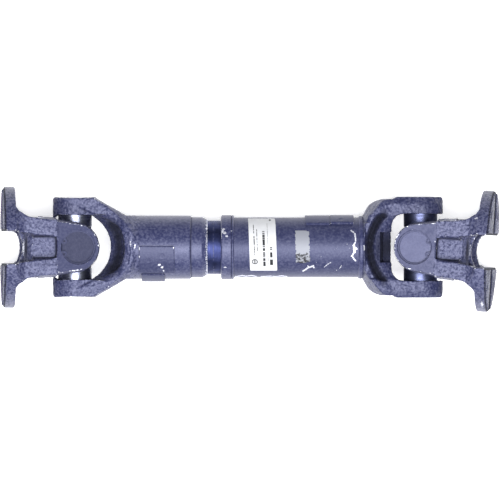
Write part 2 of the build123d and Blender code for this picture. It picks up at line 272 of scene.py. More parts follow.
def signed_bend(mesh):
    """How far each point stands out of the mean of its neighbours, as a share of their distance."""
    count = len(mesh.vertices)
    points = np.empty(count * 3)
    normals = np.empty(count * 3)
    edges = np.empty(len(mesh.edges) * 2, dtype=np.int64)
    mesh.vertices.foreach_get("co", points)
    mesh.vertices.foreach_get("normal", normals)
    mesh.edges.foreach_get("vertices", edges)
    points, normals, edges = points.reshape(-1, 3), normals.reshape(-1, 3), edges.reshape(-1, 2)
    total, near, reach = np.zeros((count, 3)), np.zeros(count), np.zeros(count)
    length = np.linalg.norm(points[edges[:, 0]] - points[edges[:, 1]], axis=1)
    for one, two in ((0, 1), (1, 0)):
        np.add.at(total, edges[:, one], points[edges[:, two]])
        np.add.at(near, edges[:, one], 1)
        np.add.at(reach, edges[:, one], length)
    near = np.maximum(near, 1)
    out = ((points - total / near[:, None]) * normals).sum(1) / np.maximum(reach / near, 1e-6)
    for _ in range(2):
        spread = out * near
        np.add.at(spread, edges[:, 0], out[edges[:, 1]])
        np.add.at(spread, edges[:, 1], out[edges[:, 0]])
        out = spread / (2 * near)
    return points, out


def mark_wear(mesh, edge_gain=3.0, spots=(), shade=()):
    """Stores wear (corners that rub, and chipped spots) and painted shade (darker paint in inner corners, where
    shade falls), 0 to 1.

    A spot is a middle, three half sizes and a strength; the painted shade is given as such spots too."""
    points, bend = signed_bend(mesh)
    wear = np.clip((bend - RUBBED_BEND) * edge_gain, 0, 1)
    # painted shade: the paint is darkened where the surface lies in, in inner corners
    painted_shade = np.clip((-bend - SHADE_BEND) * 6.0, 0, 1)
    for middle, half, strength in spots:
        away = np.linalg.norm((points - np.array(middle)) / np.array(half), axis=1)
        wear = np.maximum(wear, np.clip(1.35 - away, 0, 1) * strength)
    for middle, half, strength in shade:
        away = np.linalg.norm((points - np.array(middle)) / np.array(half), axis=1)
        painted_shade = np.maximum(painted_shade, np.clip(1.5 - away, 0, 1) * strength)
    for name, values in (("wear", wear), ("painted_shade", painted_shade)):
        layer = mesh.attributes.new(name, "FLOAT", "POINT")
        layer.data.foreach_set("value", values.astype(np.float32))
    return mesh


def finish_piece(name, mesh, place, materials, body, nodes, sharp=32):
    """Makes the object: smooth but for its sharp edges, in the row's frame, on its body."""
    if name in bpy.data.objects:
        raise RuntimeError(f"{name} was made twice")
    mesh.transform(place)
    mesh.name = name
    slots = [min(polygon.material_index, len(materials) - 1) for polygon in mesh.polygons]
    mesh.materials.clear()
    for material in materials:
        mesh.materials.append(material)
    mesh.polygons.foreach_set("material_index", slots)
    mesh.polygons.foreach_set("use_smooth", [True] * len(mesh.polygons))
    mesh.set_sharp_from_angle(angle=math.radians(sharp))
    piece = bpy.data.objects.new(name, mesh)
    bpy.context.scene.collection.objects.link(piece)
    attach(piece, body)
    if nodes:
        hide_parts(*nodes)
    return piece


def dress(node, material):
    """Gives a CAD node that has the right shape its finish."""
    target = frame["nodes"][node]
    target.data.materials.clear()
    target.data.materials.append(material)


def cad_copy(node, place):
    """A CAD node's mesh in millimetres, in a local frame."""
    mesh = frame["nodes"][node].data.copy()
    mesh.transform(place.inverted())
    return tidy_mesh(mesh, 2e-3)


# ---- material tools -----------------------------------------------------------------------------
def add(tree, kind, inputs=(), **settings):
    """One node, with its settings and its inputs: each a value or another node's output."""
    node = tree.nodes.new("ShaderNode" + kind)
    for name, value in settings.items():
        setattr(node, name, value)
    for name, value in dict(inputs).items():
        if isinstance(value, bpy.types.NodeSocket):
            tree.links.new(value, node.inputs[name])
        else:
            node.inputs[name].default_value = value
    return node


def new_material(name):
    """An empty node material: itself, its tree and the shader that its output shows."""
    material = bpy.data.materials.new(name)
    material.use_nodes = True
    tree = material.node_tree
    tree.nodes.clear()
    shader = add(tree, "BsdfPrincipled")
    add(tree, "OutputMaterial", {"Surface": shader.outputs[0]})
    return material, tree, shader


def feed(tree, shader, inputs):
    """Sets or links the shader's sockets by name."""
    for name, value in inputs.items():
        if isinstance(value, bpy.types.NodeSocket):
            tree.links.new(value, shader.inputs[name])
        else:
            shader.inputs[name].default_value = value


def rgba(value):
    return (*value, 1.0)


def per_metre(size):
    """The noise scale that gives features of a real size in millimetres."""
    return 1000.0 / size


def chassis_paint(name, skin, grain, dust, chips, gloss=0.38, tone=1.0):
    """Chassis paint, an oil-based blue-black enamel sprayed over steel as it came.

    A cold blue-violet coat with a soft gloss that follows the metal's skin, greyer where it is thin
    or dusty, darker with painted shade in inner corners and recesses, and broken down to bright steel where it was
    knocked.
    skin is the size of the metal's texture and grain its height, in millimetres; dust is how much
    of the coat is greyed, chips how readily it breaks, tone how light it is."""
    settings = bpy.context.scene.shaft_paint
    material, tree, shader = new_material(name)
    place = add(tree, "TexCoord").outputs["Object"]
    wear = add(tree, "Attribute", attribute_name="wear").outputs["Fac"]
    painted_shade = add(tree, "Attribute", attribute_name="painted_shade").outputs["Fac"]
    # clouds of thin coat and dust, 14 mm across, broken up by 2.5 mm specks
    cloud = add(tree, "TexNoise", {"Vector": place, "Scale": per_metre(14), "Detail": 4.0, "Roughness": 0.6})
    speck = add(tree, "TexNoise", {"Vector": place, "Scale": per_metre(3.4), "Detail": 3.0, "Roughness": 0.6})
    thin = add(tree, "MapRange", {"Value": cloud.outputs[0], "From Min": 0.35, "From Max": 0.8,
                                  "To Min": 0.0, "To Max": dust})
    sprinkled = add(tree, "MapRange", {"Value": speck.outputs[0], "From Min": 0.3, "From Max": 0.75,
                                       "To Min": -0.25 - 0.5 * grain, "To Max": 0.45 + 1.1 * grain})
    dusty = add(tree, "Math", {0: thin.outputs[0], 1: sprinkled.outputs[0]}, operation="ADD", use_clamp=True)
    coat = [c * tone for c in settings.paint]
    grey = [c * tone for c in settings.worn_paint]
    paint = add(tree, "Mix", {"Factor": dusty.outputs[0], 6: rgba(coat), 7: rgba(grey)}, data_type="RGBA")
    # painted shade: the coat darkened in inner corners and in the spots given as shade
    shade = add(tree, "Math", {0: painted_shade, 1: 0.96}, operation="MULTIPLY", use_clamp=True)
    # the pits of a rough skin hold shadow and dirt too
    pit = add(tree, "MapRange", {"Value": speck.outputs[0], "From Min": 0.47, "From Max": 0.34,
                                 "To Min": 0.0, "To Max": 0.42 * grain})
    shade_and_pits = add(tree, "Math", {0: shade.outputs[0], 1: pit.outputs[0]}, operation="MAXIMUM")
    # the colour of the painted shade and of the dark pits: the paint at a tenth
    dark = [c * 0.10 for c in settings.paint]
    shaded_and_soiled = add(tree, "Mix", {"Factor": shade_and_pits.outputs[0], 6: paint.outputs[2], 7: rgba(dark)}, data_type="RGBA")
    # the coat breaks in ragged flakes of about 1.5 mm where it is rubbed
    flake = add(tree, "TexNoise", {"Vector": place, "Scale": per_metre(1.7), "Detail": 3.0, "Roughness": 0.65})
    torn = add(tree, "Math", {0: flake.outputs[0], 1: 1.3, 2: -0.88 + chips}, operation="MULTIPLY_ADD")
    broken = add(tree, "Math", {0: wear, 1: torn.outputs[0]}, operation="ADD")
    bare = add(tree, "MapRange", {"Value": broken.outputs[0], "From Min": 0.36, "From Max": 0.52,
                                  "To Min": 0.0, "To Max": 1.0})
    steel = rgba(settings.bare_steel)
    shown = add(tree, "Mix", {"Factor": bare.outputs[0], 6: shaded_and_soiled.outputs[2], 7: steel}, data_type="RGBA")
    rough = add(tree, "MapRange", {"Value": speck.outputs[0], "From Min": 0.25, "From Max": 0.75,
                                   "To Min": gloss - 0.07, "To Max": gloss + 0.13})
    metal = add(tree, "Math", {0: bare.outputs[0], 1: 0.55}, operation="MULTIPLY")
    matt = add(tree, "Math", {0: shade_and_pits.outputs[0], 1: 0.45, 2: rough.outputs[0]}, operation="MULTIPLY_ADD",
               use_clamp=True)
    # the metal's own skin under the coat, and the orange peel of the spray on it
    scale = add(tree, "TexNoise", {"Vector": place, "Scale": per_metre(skin), "Detail": 5.0, "Roughness": 0.62})
    hills = add(tree, "Bump", {"Height": scale.outputs[0], "Distance": grain * MM, "Strength": 1.0})
    peel = add(tree, "TexNoise", {"Vector": place, "Scale": per_metre(0.9), "Detail": 1.0})
    skinned = add(tree, "Bump", {"Height": peel.outputs[0], "Distance": 0.05 * MM, "Strength": 0.6,
                                 "Normal": hills.outputs[0]})
    chipped = add(tree, "Bump", {"Height": bare.outputs[0], "Distance": 0.12 * MM, "Strength": 0.8,
                                 "Normal": skinned.outputs[0]}, invert=True)
    feed(tree, shader, {"Base Color": shown.outputs[2], "Roughness": matt.outputs[0],
                        "Metallic": metal.outputs[0], "Normal": chipped.outputs[0],
                        "Specular IOR Level": 0.5, "Specular Tint": rgba(linear("#DCE0FF"))})
    return material


def ground_steel(name, code, roughness, lines, axis="Z", oil=0.0):
    """Bearing steel, hardened and ground: a clean grey metal with fine rings left by the wheel.

    axis is the piece's own axis of turning and lines the rings' spacing in millimetres, drawn
    coarser than real ones so that they show. oil darkens it in patches."""
    material, tree, shader = new_material(name)
    place = add(tree, "TexCoord").outputs["Object"]
    split = add(tree, "SeparateXYZ", {0: place}).outputs[axis]
    streak = add(tree, "TexNoise", {"W": split, "Scale": per_metre(lines), "Detail": 3.0},
                 noise_dimensions="1D")
    smear = add(tree, "TexNoise", {"Vector": place, "Scale": per_metre(9), "Detail": 3.0})
    patch = add(tree, "MapRange", {"Value": smear.outputs[0], "From Min": 0.4, "From Max": 0.66,
                                   "To Min": 0.0, "To Max": oil})
    clean = linear(code)
    dark = rgba([c * 0.25 for c in clean])
    shown = add(tree, "Mix", {"Factor": patch.outputs[0], 6: rgba(clean), 7: dark}, data_type="RGBA")
    rough = add(tree, "MapRange", {"Value": streak.outputs[0], "From Min": 0.3, "From Max": 0.7,
                                   "To Min": roughness * 0.7, "To Max": roughness * 1.4})
    rings = add(tree, "Bump", {"Height": streak.outputs[0], "Distance": 0.02 * MM, "Strength": 0.5})
    feed(tree, shader, {"Base Color": shown.outputs[2], "Metallic": 1.0, "Roughness": rough.outputs[0],
                        "Normal": rings.outputs[0]})
    return material


def moulded(name, code, roughness, grit, metallic=0.0, specks=0.25):
    """A plain moulded, plated or cast surface: even in colour, with a fine matt grit.

    grit is the size of its texture in millimetres, specks how far its colour strays."""
    material, tree, shader = new_material(name)
    place = add(tree, "TexCoord").outputs["Object"]
    grain = add(tree, "TexNoise", {"Vector": place, "Scale": per_metre(grit), "Detail": 3.0})
    base = linear(code)
    low, high = rgba([c * (1 - specks) for c in base]), rgba([min(1, c * (1 + specks)) for c in base])
    shown = add(tree, "Mix", {"Factor": grain.outputs[0], 6: low, 7: high}, data_type="RGBA")
    rough = add(tree, "MapRange", {"Value": grain.outputs[0], "To Min": roughness - 0.08,
                                   "To Max": roughness + 0.08})
    bump = add(tree, "Bump", {"Height": grain.outputs[0], "Distance": 0.04 * MM, "Strength": 0.6})
    feed(tree, shader, {"Base Color": shown.outputs[2], "Metallic": metallic,
                        "Roughness": rough.outputs[0], "Normal": bump.outputs[0]})
    return material


def printed_paper():
    """A coated paper label, printed: matt white, faintly soiled, its print in the ink layer."""
    material, tree, shader = new_material("Coated paper, printed")
    place = add(tree, "TexCoord").outputs["Object"]
    ink = add(tree, "Attribute", attribute_name="ink").outputs["Fac"]
    soil = add(tree, "TexNoise", {"Vector": place, "Scale": per_metre(11), "Detail": 4.0})
    paper = add(tree, "Mix", {"Factor": soil.outputs[0], 6: rgba(linear("#C6C7CA")),
                              7: rgba(linear("#B4B6BB"))}, data_type="RGBA")
    shown = add(tree, "Mix", {"Factor": ink, 6: paper.outputs[2], 7: rgba(linear("#15161C"))}, data_type="RGBA")
    fibre = add(tree, "TexNoise", {"Vector": place, "Scale": per_metre(0.6), "Detail": 2.0})
    bump = add(tree, "Bump", {"Height": fibre.outputs[0], "Distance": 0.02 * MM, "Strength": 0.5})
    feed(tree, shader, {"Base Color": shown.outputs[2], "Roughness": 0.75, "Normal": bump.outputs[0]})
    return material


def silver_film():
    """A silvered polyester label, rubbed dull: mid grey with little sheen left, black where it tore."""
    material, tree, shader = new_material("Silver polyester film, torn")
    place = add(tree, "TexCoord").outputs["Object"]
    ink = add(tree, "Attribute", attribute_name="ink").outputs["Fac"]
    rub = add(tree, "TexNoise", {"Vector": place, "Scale": per_metre(3.5), "Detail": 5.0, "Roughness": 0.7})
    gone = add(tree, "Math", {0: rub.outputs[0], 1: ink}, operation="ADD")
    mark = add(tree, "MapRange", {"Value": gone.outputs[0], "From Min": 0.68, "From Max": 0.76})
    shown = add(tree, "Mix", {"Factor": mark.outputs[0], 6: rgba(linear("#82858F")),
                              7: rgba(linear("#15161F"))}, data_type="RGBA")
    crease = add(tree, "Bump", {"Height": rub.outputs[0], "Distance": 0.35 * MM, "Strength": 0.6})
    feed(tree, shader, {"Base Color": shown.outputs[2], "Metallic": 0.15, "Roughness": 0.6,
                        "Normal": crease.outputs[0]})
    return material


LOOKS = {}


def make_looks():
    """Every finish on the shaft."""
    # hot-forged steel, shot-blasted and painted: a pebbled skin under the coat
    LOOKS["left_forging"] = chassis_paint("Chassis paint on a forging", 4.2, 1.0, 0.36, 0.08)
    LOOKS["right_forging"] = chassis_paint("Chassis paint on a forging, dusty", 4.2, 1.0, 0.55, 0.12)
    LOOKS["slip_forging"] = chassis_paint("Chassis paint on the slip yoke forging", 4.0, 0.8, 0.34, 0.06)
    LOOKS["weld_forging"] = chassis_paint(
        "Chassis paint on the weld yoke forging", 4.0, 0.6, 0.28, 0.05, tone=0.9
    )
    LOOKS["left_pad"] = chassis_paint(
        "Chassis paint on a milled ear", 1.6, 0.16, 0.20, 0.04, gloss=0.66, tone=0.8
    )
    LOOKS["right_pad"] = chassis_paint(
        "Chassis paint on a milled ear, grey with dust", 1.6, 0.16, 1.0, 0.08, gloss=0.50, tone=0.85
    )
    # the same paint on turned, drawn and rolled steel: smooth, with only the spray's orange peel
    LOOKS["hub"] = chassis_paint("Chassis paint on a turned hub", 4.0, 0.30, 0.35, 0.0, gloss=0.38)
    LOOKS["tube"] = chassis_paint("Chassis paint on drawn tube", 9.0, 0.20, 0.26, 0.0, gloss=0.46, tone=0.88)
    LOOKS["plate"] = chassis_paint(
        "Chassis paint on rolled plate", 4.0, 0.15, 0.20, 0.05, gloss=0.46, tone=0.85
    )
    LOOKS["bead"] = chassis_paint("Chassis paint on a weld bead", 3.0, 0.12, 0.35, 0.0)
    LOOKS["cap"] = chassis_paint("Chassis paint on a drawn cup", 1.5, 0.30, 0.10, 0.0, gloss=0.62, tone=0.5)
    LOOKS["right_cap"] = chassis_paint(
        "Chassis paint on a drawn cup, dusty", 1.5, 0.14, 0.45, 0.0, gloss=0.40
    )
    LOOKS["left_cup"] = ground_steel("Bearing steel, ground", "#7F8396", 0.32, 0.8, axis="Y", oil=0.3)
    LOOKS["right_cup"] = ground_steel(
        "Bearing steel, ground, filmed with paint", "#555A78", 0.42, 0.8, axis="Y", oil=0.5
    )
    LOOKS["neck"] = ground_steel("Ground sleeve, greased", "#343A60", 0.52, 0.7, axis="X", oil=0.6)
    LOOKS["cross"] = ground_steel("Forged steel, ground trunnions", "#6B6E7E", 0.38, 0.9, axis="X", oil=0.5)
    LOOKS["stub"] = ground_steel("Rolled spline steel, oiled", "#777A86", 0.32, 0.9, axis="X", oil=0.6)
    LOOKS["needle"] = ground_steel("Needle steel, lapped", "#B9BBC2", 0.16, 0.5, axis="Z")
    LOOKS["left_clip"] = chassis_paint(
        "Chassis paint on spring steel", 1.5, 0.1, 0.10, 0.0, gloss=0.60, tone=0.7
    )
    LOOKS["right_clip"] = chassis_paint(
        "Chassis paint on spring steel, dusty", 1.5, 0.1, 0.5, 0.0, gloss=0.50, tone=0.8
    )
    LOOKS["rubber"] = moulded("Nitrile rubber, moulded", "#191A1F", 0.62, 0.8)
    LOOKS["washer"] = moulded("Acetal, moulded", "#D8D0BC", 0.45, 1.5, specks=0.06)
    LOOKS["nipple"] = moulded("Zinc plate, yellow passivated", "#B9A66C", 0.30, 0.7, metallic=0.9)
    LOOKS["label"] = printed_paper()
    LOOKS["film"] = silver_film()


# ---- forgings -----------------------------------------------------------------------------------
def smoothstep(value, low, high):
    t = min(1.0, max(0.0, (value - low) / (high - low)))
    return t * t * (3 - 2 * t)


def forged_skin(node, place, plugs, draft, keep, seed, rounds=5):
    """The CAD yoke as a forging: bores filled, corners rounded, walls given draft, skin made wavy."""
    mesh = joined([cad_copy(node, place), *plugs])
    mesh = with_modifier(mesh, "REMESH", mode="VOXEL", voxel_size=FORGED_VOXEL)
    mesh = with_modifier(mesh, "SMOOTH", factor=0.5, iterations=rounds)
    if draft:
        for vertex in mesh.vertices:
            vertex.co = draft(vertex.co)
        mesh.update()
    height = bpy.context.scene.shaft_paint.forging_skin
    return roughen(mesh, height * 2.2, 8.0, keep, seed)


def fine_rod(radius, start, end, step=2.0):
    """A bar along X with cells about as large as the forging's, so that what it cuts is as fine."""
    count = max(1, round((end - start) / step))
    rings = max(1, round(radius / step))
    profile = [(start, radius * i / rings) for i in range(rings)]
    profile += [(start + (end - start) * i / count, radius) for i in range(count)]
    profile += [(end, radius * (rings - i) / rings) for i in range(rings + 1)]
    return lathe(profile, 72)


def fine_box(x, y, z, step=2.5):
    mesh = box(x, y, z)
    bm = bmesh.new()
    bm.from_mesh(mesh)
    for axis, span in enumerate((x, y, z)):
        lines = [e for e in bm.edges if abs(e.verts[0].co[axis] - e.verts[1].co[axis]) > 1e-3]
        cuts = max(1, round(abs(span[1] - span[0]) / step)) - 1
        if cuts:
            bmesh.ops.subdivide_edges(bm, edges=lines, cuts=cuts, use_grid_fill=True)
    bm.to_mesh(mesh)
    bm.free()
    return mesh


def ear_cutters(axis):
    """The machined bore, clip groove and bevelled mouth of both ears, along Y or Z."""
    cutters = []
    for sign in (1, -1):
        turn = along(axis, sign)
        bore = fine_rod(CUP_R + 0.03, 45.0, EAR_FACE + 2)
        groove = lathe([(CUP_END, 0), (CUP_END, GROOVE_R), (CUP_END + 2.6, GROOVE_R), (CUP_END + 2.6, 0)])
        mouth = lathe([(73.4, 0), (73.4, 24.6), (73.5, CUP_R), (75.4, 27.0), (75.4, 0)])
        cutters += [moved(piece, turn) for piece in (bore, groove, mouth)]
    return cutters


def ear_plugs(axis):
    """Bars that fill both ears' bores while the skin is made."""
    return [moved(rod(27.9, 49.9, 74.8), along(axis, sign)) for sign in (1, -1)]


def flange_draft(point):
    """Forging draft: the arms' walls lean in towards their outer faces, and the lobes keep theirs."""
    rise = min(1.0, max(0.0, (abs(point.z) - 50.0) / 25.0))
    fade = 1 - smoothstep(point.x, 70.0, 84.0)
    lean = 1 - 0.085 * rise * fade
    x = point.x * lean if point.x < 0 else point.x
    return Vector((x, point.y * lean, point.z))


# The slip yoke's ridge, from the back of an ear to the middle of the crotch: along the shaft, across.
RIDGE = [(6, 67), (37, 49), (62, 37), (71, 25), (75.5, 10), (76, -1)]

# Where the ridge is rubbed bright: along the shaft, across and up.
RIDGE_RUBS = [
    (x, y, 44)
    for x, y in ((62, 37), (65, 33), (68, 29), (71, 25), (72.5, 21), (74, 16), (75.5, 10), (76, 4))
]


def inside_ridge(x, across):
    """How far a spot lies inside the ridge, towards the joint."""
    depth = math.inf
    for (x0, y0), (x1, y1) in zip(RIDGE, RIDGE[1:]):
        long = math.hypot(x1 - x0, y1 - y0)
        depth = min(depth, ((x - x0) * (y1 - y0) - (across - y0) * (x1 - x0)) / long)
    return depth


def slip_shape(point):
    """The ears lean in towards their rims; the crotch falls away inside its ridge, and the rim stands up."""
    across, up = abs(point.y), abs(point.z)
    lean = 2.2 * min(1.0, max(0.0, (up - 6.0) / 30.0)) * (1 - smoothstep(point.x, 20.0, 60.0))
    inside = inside_ridge(point.x, across)
    crotch = (1 - smoothstep(across, 43.0, 49.0)) * smoothstep(point.x, 26.0, 40.0)
    edge = smoothstep(inside, 0.0, 2.5)
    beside = 2.0 * (1 - crotch) * smoothstep(up, 18.0, 28.0) * smoothstep(point.x, 2.0, 14.0)
    drop = edge * (beside + 0.22 * up * crotch)
    drop += 0.60 * up * crotch * smoothstep(inside, 1.0, 24.0)
    rim = 0.11 * smoothstep(point.x, 64.0, 77.0) * (1 - smoothstep(point.x, 84.0, 94.0)) * (1 - edge)
    height = up * (1 + rim) - min(drop, up)
    return Vector((point.x, point.y - math.copysign(lean, point.y), math.copysign(height, point.z)))


def weld_shape(point):
    """A bevel all round the yoke's outline, and a moat between its shoulder and the bar of its crotch."""
    across, up = abs(point.y), abs(point.z)
    if point.x > 50.0 and across > 36.0:
        inset = 37.3 - math.hypot(point.x - 50.0, across - 36.0)
    else:
        inset = EAR_FACE - across
    bevel = 0.42 * max(0.0, 11.0 - inset) * smoothstep(up, 10.0, 26.0)
    ring = math.hypot(point.x - MOAT_CENTRE, point.y)
    moat = 14.0 * max(0.0, 1 - abs(ring - MOAT_R) / 7.0)
    moat *= smoothstep(up, 14.0, 26.0) * smoothstep(point.x, 34.0, 44.0) * (1 - smoothstep(across, 45.0, 51.0))
    return Vector((point.x, point.y, point.z - math.copysign(min(up, bevel + moat), point.z)))


def rim_notches():
    """Notches round the flange's rim, where the crossed teeth run out, one tooth apart."""
    cutters, count = [], 110
    outline = [(NOTCH_BOTTOM, 0.0), (109.5, -2.1), (109.5, 2.1)]
    for i in range(count):
        points = [(x, y, z) for z in (84.0, 95.0) for x, y in outline]
        faces = [(0, 1, 2), (3, 5, 4), (0, 3, 4, 1), (1, 4, 5, 2), (2, 5, 3, 0)]
        wedge = tidy_mesh(new_mesh(points, faces))
        cutters.append(moved(wedge, Matrix.Rotation(2 * math.pi * i / count, 4, "X")))
    return cutters


class SHAFT_OT_flange_yokes(bpy.types.Operator):
    """Forged flange yokes with their machined ears, bolt holes and crossed face teeth"""

    bl_idname = "shaft.flange_yokes"
    bl_label = "Flange yokes"

    def execute(self, context):
        for side in SIDES:
            self.yoke(side)
        return {"FINISHED"}

    def yoke(self, side):
        node = f"{side}_flange_yoke"
        place = flange_place(side)
        look = LOOKS[f"{side}_forging"]

        def keep(point):
            return 1 - 0.8 * smoothstep(point.x, 88.0, 92.0)

        mesh = forged_skin(node, place, ear_plugs("Z"), flange_draft, keep, 3.7 if side == "left" else 8.1)
        cutters = ear_cutters("Z")
        for sign in (1, -1):
            low, high = sorted((sign * MILLED_EAR, sign * 80))
            cutters.append(fine_box((-45, 30.4), (-45, 45), (low, high)))
            low, high = sorted((sign * WINDOW_FLOOR, sign * 80))
            cutters.append(fine_box((31.5, 66), (-15.5, 15.5), (low, high)))
        cutters.append(fine_box((FLANGE_BASE - 0.2, 115), (-95, 95), (-95, 95)))
        for y in (-BOLT_AT, BOLT_AT):
            for z in (-BOLT_AT, BOLT_AT):
                move = Matrix.Translation((0, y, z))
                cutters.append(moved(fine_rod(7.5, 84, 112), move))
                cutters.append(moved(rod(14.0, 80, FLANGE_BACK + 0.4), move))
        mesh = boolean(mesh, cutters)
        mark_wear(mesh, 6.0, FLANGE_KNOCKS[side], FLANGE_SHADOWS)
        for face in mesh.polygons:
            milled = abs(face.center.z) > MILLED_EAR - 0.2 and abs(face.normal.z) > 0.9
            face.material_index = int(milled and face.center.x < 31)
        body = node
        finish_piece(f"{side}_flange_forging", mesh, place, [look, LOOKS[f"{side}_pad"]], body, [node])
        teeth = boolean(cad_copy(node, place), [box((FLANGE_BASE - 1.0, 112), (-95, 95), (-95, 95))], "INTERSECT")
        teeth = boolean(teeth, rim_notches())
        mark_wear(teeth, 0)
        # bare worn tips on the teeth, and painted shade darkening the paint towards their roots
        for vertex, rub, shade in zip(teeth.vertices, teeth.attributes["wear"].data, teeth.attributes["painted_shade"].data):
            rub.value = 0.42 * smoothstep(vertex.co.x, FLANGE_BASE + 1.4, FLANGE_BASE + 2.0)
            shade.value = 1 - smoothstep(vertex.co.x, FLANGE_BASE + 0.3, FLANGE_BASE + 1.8)
        finish_piece(f"{side}_flange_face", teeth, place, [look], body, [], 20)


# Painted shadow along the foot of each leg, wider and darker beside the lower leg, which blocks the key light, and
# painted shade at both ends of the web's window, above and below.
FLANGE_SHADOWS = [
    (middle, half, strength)
    for up in (1, -1)
    for middle, half, strength in (
        ((50, 16.5, up * 63), (20, 1.8, 5), 0.8),
        ((50, -17.0, up * 63), (22, 2.4, 6), 1.0),
        ((31.6, 0, up * 62), (1.0, 14, 8), 0.9),
        ((75.5, 0, up * 53), (2.2, 17, 6), 0.9),
    )
]

# Knocks on the flanges, and a painted reflection at the rounded end of each web: middle, half sizes and strength, in
# the flange's own frame.
FLANGE_KNOCKS = {
    "left": [
        ((96, -70, 45), (3, 3, 3), 0.9),
        ((60, -43, 62), (16, 2.2, 14), 0.68),
        ((58, 44, 62), (14, 1.8, 14), 0.50),
        ((97, 58, 55), (3, 3, 4), 0.8),
        ((2, 34, 73), (10, 3, 4), 0.7),
        # painted reflection: bare bright steel along the rounded end of the web, standing in for its shine of the
        # bright floor
        ((79, 0, 48), (2.2, 20, 9), 0.75),
        ((79, 0, -48), (2.2, 20, 9), 0.6),
        ((24, 8, 75), (3, 6, 2), 0.5),
        ((-14, 20, 75), (5, 5, 2), 0.6),
    ],
    "right": [
        ((88, 47, 70), (5, 3.5, 8), 1.0),
        ((95, 44, 68), (4, 4, 7), 1.0),
        ((103, 66, 40), (3, 18, 12), 0.75),
        ((101, -70, 42), (3.5, 13, 12), 1.0),
        ((33, 0, 68), (2.5, 9, 5), 0.8),
        # painted reflection: bare bright steel along the rounded end of the web, standing in for its shine of the
        # bright floor
        ((79, 0, 48), (2.0, 18, 9), 0.55),
        ((94, -52, 66), (3, 3, 3), 0.8),
        ((58, 43, 62), (18, 1.8, 14), 0.55),
    ],
}


class SHAFT_OT_slip_yoke(bpy.types.Operator):
    """The forged slip yoke, with its turned hub, ground neck and splined sleeve"""

    bl_idname = "shaft.slip_yoke"
    bl_label = "Slip yoke"

    def execute(self, context):
        place = yoke_place("left")
        hub_start, hub_end, step_end, neck_start, sleeve_end = 96.0, 172.6, 190.5, 197.9, 297.0

        def keep(point):
            return 1 - 0.85 * smoothstep(point.x, 88.0, 96.0)

        mesh = forged_skin("slip_yoke", place, ear_plugs("Y"), slip_shape, keep, 1.3)
        cutters = ear_cutters("Y")
        for sign in (1, -1):
            low, high = sorted((sign * 74.6, sign * 80))
            cutters.append(fine_box((-45, 29.0), (low, high), (-45, 45)))
        cutters.append(fine_box((hub_start + 1.0, 310), (-60, 60), (-60, 60), 4.0))
        mesh = boolean(mesh, cutters)
        knocks = [((85, 6, 46), (2.2, 9, 4), 0.95), ((91, 1, 47), (2.0, 5, 4), 0.8),
                  ((20, 58, 36), (14, 1.2, 4), 0.55)]
        knocks += [((x, side * y, z), (2.2, 2.2, 4), 0.42) for side in (1, -1) for x, y, z in RIDGE_RUBS]
        # painted shade: the crotch between the ears is darkened where shade lies deep
        grease = [((60, y, 24), (15, 14, 16), 0.95) for y in (-30, -15, 0, 15, 30)]
        mark_wear(mesh, 5.0, knocks, grease)
        finish_piece("slip_yoke_ears", mesh, place, [LOOKS["slip_forging"]], "slip_yoke", ["slip_yoke"])
        profile = [(hub_start, 30), (hub_start, 46.6), (hub_start + 0.8, 47.2)]
        profile += steps(hub_start + 3, hub_end - 3, 47.2, 1.6)
        profile += [(hub_end - 1.0, 47.2), (hub_end, 46.4), (hub_end + 0.4, 45.0)]
        profile += steps(hub_end + 2, step_end - 2.5, 45.0, 1.6)
        profile += [(step_end - 1.2, 45.0), (step_end - 0.2, 44.5), (neck_start - 0.4, 40.6), (neck_start - 0.4, 30)]
        hub = mark_wear(lathe(profile, 288), 2.0, HUB_KNOCKS)
        finish_piece("slip_yoke_hub", hub, place, [LOOKS["hub"]], "slip_yoke", [], 40)
        neck = [(neck_start - 1.0, 34), (neck_start - 1.0, 39.8), (sleeve_end - 2, 39.8), (sleeve_end, 37.8)]
        neck = mark_wear(lathe(neck + [(sleeve_end, 34)], 192), 0)
        finish_piece("slip_yoke_sleeve", neck, place, [LOOKS["neck"]], "slip_yoke", [])
        core = boolean(cad_copy("slip_yoke", place), [rod(34.5, hub_start + 4, 310)], "INTERSECT")
        finish_piece("slip_yoke_spline", core, place, [LOOKS["stub"]], "slip_yoke", [])
        self.flecks(place, neck_start)
        return {"FINISHED"}

    def flecks(self, place, neck_start):
        """The dashed ring of paint that the spray left on the neck."""
        points, faces = [], []
        ring = 150
        for i in range(ring):
            turn = 2 * math.pi * i / ring
            size = noise.noise(Vector((math.cos(turn) * 9, math.sin(turn) * 9, 4.0)))
            if size < -0.12:
                continue
            wide = 0.9 + 1.1 * abs(size)
            start = neck_start + 8.0 + 1.2 * noise.noise(Vector((math.cos(turn) * 5, math.sin(turn) * 5, 9.0)))
            base = len(points)
            for radius in (39.7, 39.92):
                for x in (start, start + wide):
                    for part in (-0.45, 0.45):
                        at = turn + part * 2 * math.pi / ring
                        points.append((x, radius * math.sin(at), radius * math.cos(at)))
            for a, b, c, d in BOX_FACES:
                faces.append((base + a, base + b, base + c, base + d))
        mesh = mark_wear(tidy_mesh(new_mesh(points, faces)), 0)
        finish_piece("sleeve_paint_flecks", mesh, place, [LOOKS["plate"]], "slip_yoke", [])


def steps(start, end, radius, size):
    """Points along a plain cylinder, so that its chips can be small."""
    count = max(1, round((end - start) / size))
    return [(start + (end - start) * i / count, radius) for i in range(count + 1)]


def at_angle(radius, degrees):
    """A point round the shaft, from straight up towards +Y."""
    turn = math.radians(degrees)
    return radius * math.sin(turn), radius * math.cos(turn)


# Chips on the turned hub, in its own frame: X from the left joint, across, up.
HUB_KNOCKS = [
    ((103, 2, 47), (2.5, 5, 3), 0.55),
    ((112, 4, 47), (9, 2.0, 3), 0.50),
]


